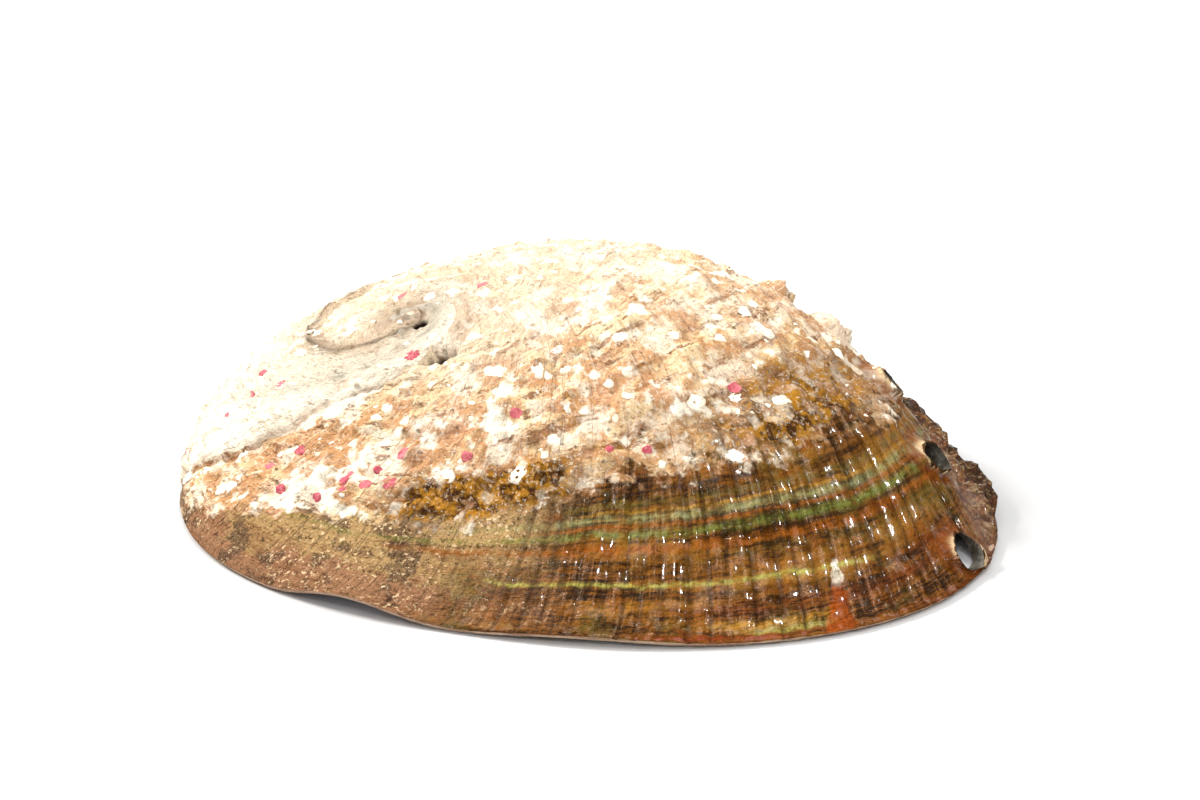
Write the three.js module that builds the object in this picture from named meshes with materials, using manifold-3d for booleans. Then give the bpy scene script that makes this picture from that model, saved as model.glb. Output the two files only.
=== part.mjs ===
// Abalone shell, lying on its rim with the hollow side down.
// Millimetres, +Z up, +X towards the front end, where the holes are open.
// The shell is one piece: a wall that grew around the apex in a logarithmic spiral.

import Module from "manifold-3d";
import * as THREE from "three";
import { mergeVertices } from "three/addons/utils/BufferGeometryUtils.js";

// Outline of the rim, seen from above.
const halfLength = 75.1;
const halfWidth = 57.1;
const apexX = -28.65; // apex from the middle of the outline
const apexY = -8.34;
const outlineWaist = -0.035; // how far the outline departs from an ellipse
const outlineSkew = 0.049;

// Growth: one turn back along the spiral, the shell was exp(-2 pi growthRate) as large.
const growthRate = 0.586;
const sutureAngle = THREE.MathUtils.degToRad(231.6); // where the whorls join at the rim
const holeRowAngle = THREE.MathUtils.degToRad(11); // where the row of holes meets the rim

// Dome: height over the apex, then its slopes and curvatures.
const apexHeight = 29.5;
const slopeX = 0.212;
const slopeY = 0.263;
const bendX = 0.005;
const bendXY = -0.002;
const bendY = 0.0045;

// Wall.
const lipWidth = 1.6; // thickness at the outer lip
const shelfWidth = 9; // flat inner-lip shelf opposite it
const shelfAngle = THREE.MathUtils.degToRad(135);
const roofThickness = 3.4;
// The rim lies on worn lands and arches clear of the ground between them.
const rimArches = [
  { from: 6, to: 60, height: 0.8 },
  { from: 100, to: 130, height: 0.6 },
  { from: 205, to: 262, height: 1 },
  { from: 284, to: 316, height: 2.2 },
  { from: 316, to: 346, height: 0.9 },
];
const sutureDepth = 1.8;
const whorlSwell = 1.4;
const sutureSpread = 3;

// Row of holes: each is a raised tube, and the older ones are closed knobs.
const firstHole = 0.095; // radians of growth behind the rim
const holeSpacing = 0.165;
const holeCount = 9;
const openHoles = 3;
const boreRadius = 2.8;
const tubeRadius = 4.2;
const tubeHeight = 2.2;
const forwardLean = 0.35;

// Mesh density.
const columns = 96;
const outerRows = 24;
const innerRows = 16;

// Distance from the apex to the rim along a direction.
function rimRadius(angle) {
  const c = Math.cos(angle);
  const s = Math.sin(angle);
  const a2 = halfLength ** 2;
  const b2 = halfWidth ** 2;
  const square = (c * c) / a2 + (s * s) / b2;
  const cross = (apexX * c) / a2 + (apexY * s) / b2;
  const rest = apexX ** 2 / a2 + apexY ** 2 / b2 - 1;
  const ellipse = (-cross + Math.sqrt(cross * cross - square * rest)) / square;
  return ellipse * (1 + outlineWaist * Math.cos(2 * angle) + outlineSkew * Math.sin(3 * angle));
}

// Height of the smooth dome: a tilted, bent roof that drops off steeply at the rim.
function domeHeight(x, y, reach, angle, thickness) {
  const roof = apexHeight + slopeX * x + slopeY * y - bendX * x * x - bendXY * x * y - bendY * y * y;
  const shoulder = 4.8 - 1.1 * Math.cos(angle) + 0.94 * Math.sin(angle);
  const steepness = 0.574 + 0.24 * Math.cos(angle);
  return (roof - thickness) * (1 - reach ** shoulder) ** steepness;
}

// The whorl swells on the apex side of the suture and sinks in the suture itself.
function sutureRelief(radius, angle) {
  const back = THREE.MathUtils.euclideanModulo(angle - sutureAngle, 2 * Math.PI);
  const sutureRadius = Math.exp(-growthRate * back) * rimRadius(sutureAngle);
  const groove = Math.exp(-(((radius - sutureRadius) / sutureSpread) ** 2));
  const swell = Math.exp(-(((radius - sutureRadius + 2.5 * sutureSpread) / (1.6 * sutureSpread)) ** 2));
  const fade = THREE.MathUtils.smoothstep(sutureRadius, 5, 15);
  return fade * (whorlSwell * swell - sutureDepth * groove);
}

// Height of the rim over the ground along a direction.
function rimClearance(angle) {
  const degrees = THREE.MathUtils.euclideanModulo(THREE.MathUtils.radToDeg(angle), 360);
  const arch = rimArches.find((span) => degrees > span.from && degrees < span.to);
  if (!arch) {
    return 0;
  }
  return arch.height * Math.sin((Math.PI * (degrees - arch.from)) / (arch.to - arch.from)) ** 2;
}

function outerPoint(reach, angle) {
  const radius = reach * rimRadius(angle);
  const x = radius * Math.cos(angle);
  const y = radius * Math.sin(angle);
  const relief = sutureRelief(radius, angle) * (1 - reach ** 12);
  const z = domeHeight(x, y, reach, angle, 0) + relief + rimClearance(angle) * reach ** 12;
  return new THREE.Vector3(x + apexX, y + apexY, z);
}

function innerPoint(reach, angle) {
  const shelf = 0.5 + 0.5 * Math.cos(angle - shelfAngle);
  const radius = reach * (rimRadius(angle) - lipWidth - shelfWidth * shelf ** 2);
  const x = radius * Math.cos(angle);
  const y = radius * Math.sin(angle);
  const z = domeHeight(x, y, reach, angle, roofThickness) + rimClearance(angle) * reach ** 12;
  return new THREE.Vector3(x + apexX, y + apexY, z);
}

// One skin as rings of points from the rim to the top, rows closer together at the rim.
function skinRings(pointAt, rows) {
  const rings = [];
  for (let row = 0; row < rows; row += 1) {
    const reach = 1 - (row / rows) ** 2;
    const ring = [];
    for (let column = 0; column < columns; column += 1) {
      ring.push(pointAt(reach, sutureAngle + (2 * Math.PI * column) / columns));
    }
    rings.push(ring);
  }
  return rings;
}

function addTriangle(positions, a, b, c) {
  for (const point of [a, b, c]) {
    positions.push(point.x, point.y, point.z);
  }
}

// Triangles between two rings that run the same way round.
function addStrip(positions, lower, upper) {
  for (let column = 0; column < columns; column += 1) {
    const next = (column + 1) % columns;
    addTriangle(positions, lower[column], lower[next], upper[next]);
    addTriangle(positions, lower[column], upper[next], upper[column]);
  }
}

function addSkin(positions, rings, top, facesOut) {
  const add = (lower, upper) => (facesOut ? addStrip(positions, lower, upper) : addStrip(positions, upper, lower));
  for (let row = 0; row + 1 < rings.length; row += 1) {
    add(rings[row], rings[row + 1]);
  }
  const last = rings[rings.length - 1];
  for (let column = 0; column < columns; column += 1) {
    const next = (column + 1) % columns;
    const pair = facesOut ? [last[column], last[next]] : [last[next], last[column]];
    addTriangle(positions, pair[0], pair[1], top);
  }
}

function wallGeometry() {
  const outer = skinRings(outerPoint, outerRows);
  const inner = skinRings(innerPoint, innerRows);
  const positions = [];
  addSkin(positions, outer, outerPoint(0, 0), true);
  addSkin(positions, inner, innerPoint(0, 0), false);
  addStrip(positions, inner[0], outer[0]);
  const geometry = new THREE.BufferGeometry();
  geometry.setAttribute("position", new THREE.Float32BufferAttribute(positions, 3));
  return geometry;
}

// A hole's place on the dome, with its lean towards the front of the row.
function holeAxis(index) {
  const turn = firstHole + index * holeSpacing;
  const angle = holeRowAngle + turn;
  const reach = (Math.exp(-growthRate * turn) * rimRadius(holeRowAngle)) / rimRadius(angle);
  const step = 0.01;
  const centre = outerPoint(reach, angle);
  const outward = outerPoint(reach + step, angle).sub(outerPoint(reach - step, angle));
  const around = outerPoint(reach, angle + step).sub(outerPoint(reach, angle - step));
  const normal = outward.clone().cross(around).normalize();
  const forward = outward.normalize().multiplyScalar(forwardLean);
  return { centre, direction: normal.add(forward).normalize() };
}

function alignedCylinder(topRadius, bottomRadius, from, to, axis) {
  const geometry = new THREE.CylinderGeometry(topRadius, bottomRadius, to - from, 16);
  geometry.translate(0, (from + to) / 2, 0);
  const turn = new THREE.Quaternion().setFromUnitVectors(new THREE.Vector3(0, 1, 0), axis.direction);
  geometry.applyQuaternion(turn);
  geometry.translate(axis.centre.x, axis.centre.y, axis.centre.z);
  return geometry;
}

const wasm = await Module();
wasm.setup();

function toManifold(geometry) {
  const bare = geometry.clone();
  bare.deleteAttribute("normal");
  bare.deleteAttribute("uv");
  const merged = mergeVertices(bare, 1e-4);
  const mesh = new wasm.Mesh({
    numProp: 3,
    vertProperties: new Float32Array(merged.attributes.position.array),
    triVerts: new Uint32Array(merged.index.array),
  });
  return new wasm.Manifold(mesh);
}

function toGeometry(solid) {
  const mesh = solid.getMesh();
  const geometry = new THREE.BufferGeometry();
  geometry.setAttribute("position", new THREE.BufferAttribute(mesh.vertProperties, 3));
  geometry.setIndex(new THREE.BufferAttribute(mesh.triVerts, 1));
  geometry.computeVertexNormals();
  return geometry;
}

function shellSolid() {
  let solid = toManifold(wallGeometry());
  for (let index = 0; index < holeCount; index += 1) {
    const axis = holeAxis(index);
    const size = Math.exp(-0.6 * growthRate * index * holeSpacing);
    const knob = alignedCylinder(0.75 * tubeRadius * size, tubeRadius * size, -1, tubeHeight * size, axis);
    solid = solid.add(toManifold(knob));
  }
  for (let index = 0; index < openHoles; index += 1) {
    const axis = holeAxis(index);
    const bore = alignedCylinder(boreRadius, boreRadius, -12, 6, axis);
    solid = solid.subtract(toManifold(bore));
  }
  return solid;
}

const geometry = toGeometry(shellSolid());
geometry.computeBoundingBox();
const middle = geometry.boundingBox.getCenter(new THREE.Vector3());
geometry.translate(-middle.x, -middle.y, -geometry.boundingBox.min.z);

const shell = new THREE.Mesh(
  geometry,
  new THREE.MeshStandardMaterial({ color: 0x8a6a48, roughness: 0.45, metalness: 0 }),
);
shell.name = "shell";

const group = new THREE.Group();
group.add(shell);

export default group;
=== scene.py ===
import bmesh
import bpy
import math
from mathutils import Matrix, Vector


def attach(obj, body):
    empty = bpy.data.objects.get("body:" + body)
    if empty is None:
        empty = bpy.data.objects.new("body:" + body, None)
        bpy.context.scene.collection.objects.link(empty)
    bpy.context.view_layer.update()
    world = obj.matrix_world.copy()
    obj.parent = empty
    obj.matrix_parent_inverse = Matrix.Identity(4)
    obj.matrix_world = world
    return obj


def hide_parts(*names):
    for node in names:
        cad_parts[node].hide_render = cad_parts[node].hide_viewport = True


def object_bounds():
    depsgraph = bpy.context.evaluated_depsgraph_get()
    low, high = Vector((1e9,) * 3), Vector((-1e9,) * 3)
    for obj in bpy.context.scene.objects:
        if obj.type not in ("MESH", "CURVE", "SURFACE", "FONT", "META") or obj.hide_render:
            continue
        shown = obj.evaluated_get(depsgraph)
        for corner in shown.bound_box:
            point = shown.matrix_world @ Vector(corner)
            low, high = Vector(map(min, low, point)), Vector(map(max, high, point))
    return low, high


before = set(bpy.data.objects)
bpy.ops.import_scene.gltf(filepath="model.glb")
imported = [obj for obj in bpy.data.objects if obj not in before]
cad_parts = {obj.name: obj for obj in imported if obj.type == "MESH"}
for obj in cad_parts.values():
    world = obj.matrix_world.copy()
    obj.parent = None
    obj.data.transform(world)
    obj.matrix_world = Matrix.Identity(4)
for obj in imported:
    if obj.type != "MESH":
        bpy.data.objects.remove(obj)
cadLow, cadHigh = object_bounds()
mm = 0.001


# Node helpers. A Field is a number or a vector on its way through a node tree,
# so that a rule reads like a sum.

class Field:
    def __init__(self, tree, socket):
        self.tree = tree
        self.socket = socket

    def calc(self, operation, *others):
        step = self.tree.nodes.new("ShaderNodeMath")
        step.operation = operation
        for socket, value in zip(step.inputs, (self,) + others):
            feed(self.tree, value, socket)
        return Field(self.tree, step.outputs[0])

    def __add__(self, other):
        return self.calc("ADD", other)

    def __sub__(self, other):
        return self.calc("SUBTRACT", other)

    def __rsub__(self, other):
        return (self * -1.0) + other

    def __mul__(self, other):
        return self.calc("MULTIPLY", other)

    def __truediv__(self, other):
        return self.calc("DIVIDE", other)

    def __pow__(self, other):
        return self.calc("POWER", other)

    __radd__ = __add__
    __rmul__ = __mul__


def feed(tree, value, socket):
    if isinstance(value, Field):
        tree.links.new(value.socket, socket)
    else:
        socket.default_value = value


def node(tree, kind, values=None, output=0, **settings):
    made = tree.nodes.new(kind)
    for name, value in settings.items():
        setattr(made, name, value)
    for name, value in (values or {}).items():
        feed(tree, value, made.inputs[name])
    return Field(tree, made.outputs[output])


def pick(operation, plain):
    # the same rule for plain numbers and for fields
    def apply(x, *others):
        if isinstance(x, Field):
            return x.calc(operation, *others)
        return plain(x, *others)
    return apply


cosine = pick("COSINE", math.cos)
sine = pick("SINE", math.sin)
exponent = pick("EXPONENT", math.exp)
root = pick("SQRT", math.sqrt)
larger = pick("MAXIMUM", max)
smaller = pick("MINIMUM", min)
wrapped = pick("FLOORED_MODULO", lambda x, whole: x % whole)


def logOf(x):
    if isinstance(x, Field):
        return x.calc("LOGARITHM", math.e)
    return math.log(x)


def ramp(x, start, end):
    # rises smoothly from 0 at start to 1 at end
    if isinstance(x, Field):
        return node(x.tree, "ShaderNodeMapRange", {"Value": x, "From Min": start, "From Max": end},
                    interpolation_type="SMOOTHSTEP")
    part = min(1.0, max(0.0, (x - start) / (end - start)))
    return part * part * (3 - 2 * part)


def hump(x, middle, width):
    # a soft hill, 1 high, around middle
    away = (x - middle) / width
    return exponent((away * away) * -1.0)


def vector(tree, x, y, z):
    return node(tree, "ShaderNodeCombineXYZ", {"X": x, "Y": y, "Z": z})


def split(value):
    parts = value.tree.nodes.new("ShaderNodeSeparateXYZ")
    feed(value.tree, value, parts.inputs[0])
    return [Field(value.tree, output) for output in parts.outputs]


def vectorMath(operation, first, second=None, output=0, scale=None):
    made = first.tree.nodes.new("ShaderNodeVectorMath")
    made.operation = operation
    feed(first.tree, first, made.inputs[0])
    if second is not None:
        feed(first.tree, second, made.inputs[1])
    if scale is not None:
        feed(first.tree, scale, made.inputs["Scale"])
    return Field(first.tree, made.outputs[output])


def noise(place, scale, detail=2.0, roughness=0.5):
    # soft noise around 0, about -0.25 to 0.25
    made = node(place.tree, "ShaderNodeTexNoise",
                {"Vector": place, "Scale": scale, "Detail": detail, "Roughness": roughness})
    return made - 0.5


def cells(place, scale, metric="EUCLIDEAN"):
    return node(place.tree, "ShaderNodeTexVoronoi", {"Vector": place, "Scale": scale},
                feature="F1", distance=metric)


def absolute(x):
    return x.calc("ABSOLUTE")


def summed(fields):
    return sum(fields[1:], fields[0])


# Growth rule of the shell, in millimetres and radians, measured from the apex.

shellShape = {
    "Half Length": 75.1,
    "Half Width": 57.1,
    "Apex X": -28.65,
    "Apex Y": -8.34,
    "Growth Rate": 0.586,
    "Apex Height": 29.5,
    "Slope X": 0.212,
    "Slope Y": 0.263,
    "Lip Width": 1.5,
    "Lip Bevel": 0.9,
    "Shelf Width": 9.0,
    "Roof Thickness": 3.3,
    "Suture Depth": 0.8,
    "Whorl Swell": 0.35,
    "Cord Height": 0.36,
    "Growth Step": 0.3,
    "Tube Height": 2.2,
    "Knob Height": 2.9,
    "Crust Height": 1.25,
}

growthSettings = {
    "sutureAngle": math.radians(231.6),
    "holeRowAngle": math.radians(11),
    "shelfAngle": math.radians(135),
    "ribAngle": math.radians(2.22),
    "smallestReach": 0.02,
    "innerReach": 0.25,
    "holeCount": 9,
    "openHoles": 3,
    "firstHole": 0.068,
    "holeSpacing": 0.176,
    "boreRadius": 2.8,
    # how far each hole leans forward, the last figure for all older ones
    "forwardLean": [1.05, 0.7, 0.6, 0.4],
    # rim arches clear of the ground: from, to in degrees, height
    "arches": [(6, 60, 0.8), (100, 130, 0.6), (205, 262, 1.0), (284, 316, 2.2), (316, 346, 0.9)],
}


def rimRadius(s, angle):
    # distance from the apex to the rim along a direction
    c = cosine(angle)
    d = sine(angle)
    a2 = s["Half Length"] * s["Half Length"]
    b2 = s["Half Width"] * s["Half Width"]
    square = c * c / a2 + d * d / b2
    cross = s["Apex X"] * c / a2 + s["Apex Y"] * d / b2
    rest = s["Apex X"] * s["Apex X"] / a2 + s["Apex Y"] * s["Apex Y"] / b2 - 1.0
    ellipse = (root(cross * cross - square * rest) - cross) / square
    return ellipse * (1.0 + cosine(angle * 2.0) * -0.035 + sine(angle * 3.0) * 0.049)


def domeHeight(s, x, y, part, angle, thickness):
    # a tilted, bent roof that drops off steeply at the rim
    roof = (s["Apex Height"] + s["Slope X"] * x + s["Slope Y"] * y
            - x * x * 0.005 + x * y * 0.002 - y * y * 0.0045)
    shoulder = 4.8 + cosine(angle) * -1.1 + sine(angle) * 0.94
    steepness = 0.574 + cosine(angle) * 0.24
    return (roof - thickness) * ((1.0 - part ** shoulder) ** steepness)


def outerPlace(s, reach, ray):
    # reach is the size of the shell at that stage of growth, ray the direction in which that bit of lip faced
    turn = logOf(reach) / s["Growth Rate"] * -1.0
    angle = ray + turn
    radius = reach * rimRadius(s, ray)
    part = smaller(radius / rimRadius(s, angle), 1.0)
    x = radius * cosine(angle)
    y = radius * sine(angle)
    z = domeHeight(s, x, y, part, angle, 0.0)
    return x, y, z, part, angle, turn


def innerPlace(s, part, angle):
    shelf = 0.5 + 0.5 * cosine(angle - growthSettings["shelfAngle"])
    radius = part * (rimRadius(s, angle) - s["Lip Width"] - s["Shelf Width"] * shelf * shelf)
    x = radius * cosine(angle)
    y = radius * sine(angle)
    return x, y, domeHeight(s, x, y, part, angle, s["Roof Thickness"])


def holePlaces():
    # each hole's middle, the direction it faces, and its size
    places = []
    for index in range(growthSettings["holeCount"]):
        turn = growthSettings["firstHole"] + index * growthSettings["holeSpacing"]
        reach = math.exp(-shellShape["Growth Rate"] * turn)
        ray = growthSettings["holeRowAngle"]
        spots = [Vector(outerPlace(shellShape, reach * grow, ray + aside)[:3])
                 for grow, aside in ((1, 0), (1.01, 0), (0.99, 0), (1, 0.01), (1, -0.01))]
        onward = spots[1] - spots[2]
        normal = onward.cross(spots[3] - spots[4]).normalized()
        lean = growthSettings["forwardLean"][min(index, 3)]
        facing = (normal + onward.normalized() * lean).normalized()
        size = math.exp(-0.6 * shellShape["Growth Rate"] * index * growthSettings["holeSpacing"])
        places.append((spots[0], facing, size))
    return places


# Rules of the weathered surface that the mesh and its material share.

surfaceMarks = {
    # ledges left where growth paused: stage of growth, height in mm
    "ledges": [(0.237, 0.4), (0.345, 0.35), (0.43, 0.55), (0.56, 0.45), (0.72, 0.6), (0.93, 0.6), (1.2, 0.5)],
    # worn pits: x and y from the apex, half width, depth, all in mm
    "pits": [(15.0, -8.9, 1.2, 1.6), (16.4, -7.4, 0.9, 1.3), (13.4, -10.3, 0.9, 0.9), (4.9, -2.4, 1.3, 2.2)],
    # how much later the crust starts, between which directions in degrees
    "crustEdge": [(200.0, 202.0, 0.01), (243.0, 276.0, 0.3), (300.0, 335.0, 0.07), (440.0, 550.0, -0.37)],
    "cordTwist": 0.35,
}


def sutureDistance(ray, turn, radius):
    # mm past the suture on the newer side, and mm left before it on the older side
    shift = hump(turn, 0.97, 0.32) * -0.185 + hump(turn, 0.28, 0.15) * 0.035 + ramp(turn, 1.4, 1.6) * 0.3
    past = wrapped(ray - shift - growthSettings["sutureAngle"], 2 * math.pi) * radius
    return past, radius * (2 * math.pi) - past


def crustShare(place, degrees, turn):
    # 0 on the clean younger wall, 1 where lime and weed have covered it
    edge = summed([ramp(degrees, start, end) * later for start, end, later in surfaceMarks["crustEdge"]])
    ragged = noise(place, 0.1, 2.0) * 0.16 + noise(place, 0.45, 3.0, 0.65) * 0.22
    return ramp(turn + ragged - edge, -0.02, 0.03)


def cordPattern(ray, turn):
    # spiral cords that fan out from the apex: their height, and the narrow grooves between the strongest
    ray = ray + turn * surfaceMarks["cordTwist"]
    drift = noise(vector(ray.tree, ray * 7.0, turn * 0.8, 0.0), 1.0, 1.0)
    height = cosine(ray * (2 * math.pi / growthSettings["ribAngle"]) + drift * 14.0)
    uneven = noise(vector(ray.tree, ray * 16.0, turn * 0.5, 4.0), 1.0, 0.0) * 1.6
    return height, ramp(height * -1.0 + uneven, 0.75, 1.15)


def pitShare(place):
    x, y = split(place)[:2]
    shares = []
    for pitX, pitY, width, depth in surfaceMarks["pits"]:
        away = ((x - pitX) * (x - pitX) + (y - pitY) * (y - pitY)) / (width * width)
        shares.append(exponent(away * -1.0) * depth)
    return summed(shares)


# The shell's skin, grown by a node tree: one grid runs from the apex down the outside,
# round the lip and up the inside.

skinGrid = {
    "columns": 420,
    "apexRows": 46,
    "bodyRows": 130,
    "lipRows": 3,
    "innerRows": 37,
    "nearColumns": 232,
    "holeColumns": 64,
    "nearSpan": math.radians(130.4),
    "holeSpan": math.radians(20),
}


def archHeight(angle):
    # how far the rim clears the ground along a direction
    degrees = wrapped(angle * math.degrees(1), 360.0)
    height = degrees * 0.0
    for start, end, rise in growthSettings["arches"]:
        part = smaller(larger((degrees - start) / (end - start), 0.0), 1.0)
        wave = sine(part * math.pi)
        height = height + wave * wave * rise
    return height


def skinPlaces(s, u, v):
    # where each point of the grid lies, with its ray, its turn of growth, and how far across the lip it is
    g, grow = skinGrid, growthSettings
    rows = g["apexRows"] + g["bodyRows"] + g["lipRows"] + g["innerRows"]
    apexEnd = g["apexRows"] / rows
    bodyEnd = apexEnd + g["bodyRows"] / rows
    lipEnd = bodyEnd + g["lipRows"] / rows
    nearEnd = g["nearColumns"] / g["columns"]
    holeEnd = nearEnd + g["holeColumns"] / g["columns"]

    def part(x, start, end):
        return smaller(larger((x - start) / (end - start), 0.0), 1.0)

    farSpan = 2 * math.pi - g["nearSpan"] - g["holeSpan"]
    ray = (part(u, 0.0, nearEnd) * g["nearSpan"] + part(u, nearEnd, holeEnd) * g["holeSpan"]
           + part(u, holeEnd, 1.0) * farSpan + grow["sutureAngle"])
    first, second = math.log(grow["smallestReach"]), math.log(grow["innerReach"])
    body = 1.0 - part(v, apexEnd, bodyEnd)
    reach = (exponent(part(v, 0.0, apexEnd) * (second - first) + first)
             + (1.0 - body ** 1.6) * (1 - grow["innerReach"]))
    x, y, z, share, angle, turn = outerPlace(s, reach, ray)
    across = part(v, bodyEnd, lipEnd)
    bevel = s["Lip Bevel"] * (1.0 - across) * (1.0 - across)
    outer = vector(u.tree, x, y, larger(z, bevel) + archHeight(angle) * share ** 12)
    inward = 1.0 - part(v, lipEnd, 1.0) ** 1.5 * 0.97
    x, y, z = innerPlace(s, inward, ray)
    inner = vector(u.tree, x, y, z + archHeight(ray) * inward ** 12)
    return outer, inner, across, ray, turn, reach


def mixVectors(tree, share, first, second):
    made = tree.nodes.new("ShaderNodeMix")
    made.data_type = "VECTOR"
    feed(tree, share, made.inputs["Factor"])
    feed(tree, first, made.inputs[4])
    feed(tree, second, made.inputs[5])
    return Field(tree, made.outputs[1])


def surfaceRelief(s, place, ray, turn, reach):
    # everything that stands out of or sinks into the smooth outer wall, in millimetres along its normal
    tree = ray.tree
    g = growthSettings
    radius = reach * 40.0
    degrees = ray * math.degrees(1)
    run = lipRun(turn)
    past, before = sutureDistance(ray, turn, radius)
    nearest = smaller(past, before)
    suture = (hump(before, 8.0, 6.0) * s["Whorl Swell"] - hump(past, 4.0, 3.5) * 0.25
              - hump(nearest, 0.0, 1.6) * s["Suture Depth"]) * ramp(radius, 9, 17)

    crusted = crustShare(place, degrees, turn)
    height, groove = cordPattern(ray, turn)
    cordShare = (0.22 + ramp(degrees, 300.0, 322.0) * 0.78) * (1.0 - crusted * 0.55) * ramp(radius, 6, 22)
    cords = (height * 0.35 - groove * 0.8) * s["Cord Height"] * cordShare

    swell = noise(vector(tree, run * 0.30, ray * 1.6, 3.0), 1.0, 3.0, 0.6) * s["Growth Step"] * 4.0
    wobble = noise(vector(tree, ray * 3.0, turn * 2.0, 6.0), 1.0, 2.0) * 0.035
    ledges = []
    for stage, rise in surfaceMarks["ledges"]:
        older = turn + wobble - stage
        ledges.append(ramp(older, -0.004, 0.003) * (1.0 - ramp(older, 0.003, 0.07)) * rise)
    steps = (swell + summed(ledges) * (0.4 + noise(place, 0.09, 1.0) * 2.4)) * ramp(radius, 6, 22)

    lumps = noise(place, 0.17, 3.0, 0.55) * 2.6 * s["Crust Height"] * (0.22 + crusted * 0.78)
    knots = ramp(0.42 - cells(place, 0.34), 0.0, 0.4) * 0.55 * s["Crust Height"] * crusted
    grain = noise(place, 0.85, 2.0, 0.65) * 1.1 * s["Crust Height"] * (0.12 + crusted * 0.88)

    wall = ray - (g["holeRowAngle"] + 2 * math.pi)
    beat = cosine((turn - g["firstHole"]) * (2 * math.pi / g["holeSpacing"]))
    wallLumps = noise(place, 0.25, 3.0, 0.65) * 9.0
    keel = hump(wall, 0.27, 0.09) * (1.1 + beat * 0.7 + wallLumps) - hump(wall, 0.13, 0.05) * 0.8
    fade = ramp(turn, 0.0, 0.02)
    coarse = steps + lumps + knots + grain + keel * ramp(radius, 5, 25)
    return suture + cords * (fade * 0.7 + 0.3) + coarse * fade - pitShare(place)


def lipRun(turn):
    # length of wall grown since that stage, in millimetres, along the middle of the outer lip
    across = turn * 35.0
    down = (1.0 - exponent(turn * -2.64)) ** 0.6 * 25.0
    return root(across * across + down * down)


def tubeRelief(s, place):
    # the raised tubes round the holes, leaning forward, older ones closed and worn to knobs
    tree = place.tree
    total = None
    for index, (middle, facing, share) in enumerate(holePlaces()):
        away = vectorMath("DISTANCE", place, tuple(middle), output=1) / share
        away = away + noise(place, 0.35, 1.0) * 1.6
        isOpen = index < growthSettings["openHoles"]
        bank = 1.0 - ramp(away, 3.1, 5.4 if isOpen else 6.0)
        dimple = (1.0 - ramp(away, 1.4, 3.0)) * (0.0 if isOpen else 0.35)
        height = (bank - dimple) * (s["Tube Height"] if isOpen else s["Knob Height"]) * share
        push = vectorMath("SCALE", node(tree, "FunctionNodeInputVector", vector=facing), scale=height)
        total = push if total is None else vectorMath("ADD", total, push)
    return total


def chain(tree, kind, geometry, values, **settings):
    return node(tree, kind, {"Geometry": geometry, **values}, **settings)


def keep(geometry, name, value, domain, kind):
    return chain(geometry.tree, "GeometryNodeStoreNamedAttribute", geometry, {"Name": name, "Value": value},
                 domain=domain, data_type=kind)


def stored(tree, name, kind):
    made = tree.nodes.new("GeometryNodeInputNamedAttribute")
    made.data_type = kind
    made.inputs["Name"].default_value = name
    return Field(tree, made.outputs["Attribute"])


def startTree(name, sizes):
    tree = bpy.data.node_groups.new(name, "GeometryNodeTree")
    tree.interface.new_socket("Geometry", in_out="INPUT", socket_type="NodeSocketGeometry")
    tree.interface.new_socket("Geometry", in_out="OUTPUT", socket_type="NodeSocketGeometry")
    for label, value in sizes.items():
        tree.interface.new_socket(label, in_out="INPUT", socket_type="NodeSocketFloat").default_value = value
    given = tree.nodes.new("NodeGroupInput").outputs
    return tree, Field(tree, given["Geometry"]), {label: Field(tree, given[label]) for label in sizes}


def endTree(geometry, materials):
    # materials: each with the faces it goes on
    tree = geometry.tree
    geometry = node(tree, "GeometryNodeRealizeInstances", {"Geometry": geometry})
    for material, where in materials:
        geometry = chain(tree, "GeometryNodeSetMaterial", geometry,
                         {"Material": material, "Selection": where})
    out = tree.nodes.new("NodeGroupOutput")
    tree.links.new(geometry.socket, out.inputs["Geometry"])


def addObject(name, data):
    made = bpy.data.objects.new(name, data)
    bpy.context.scene.collection.objects.link(made)
    return made


def growMesh(tree, sizes, start):
    # runs a node tree on a mesh with the given sizes and hands back the plain mesh it makes
    grown = addObject(tree.name, start)
    modifier = grown.modifiers.new(tree.name, "NODES")
    modifier.node_group = tree
    for item in tree.interface.items_tree:
        if item.in_out == "INPUT" and item.name in sizes:
            modifier[item.identifier] = sizes[item.name]
    evaluated = grown.evaluated_get(bpy.context.evaluated_depsgraph_get())
    mesh = bpy.data.meshes.new_from_object(evaluated)
    bpy.data.objects.remove(grown)
    return mesh


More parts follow.
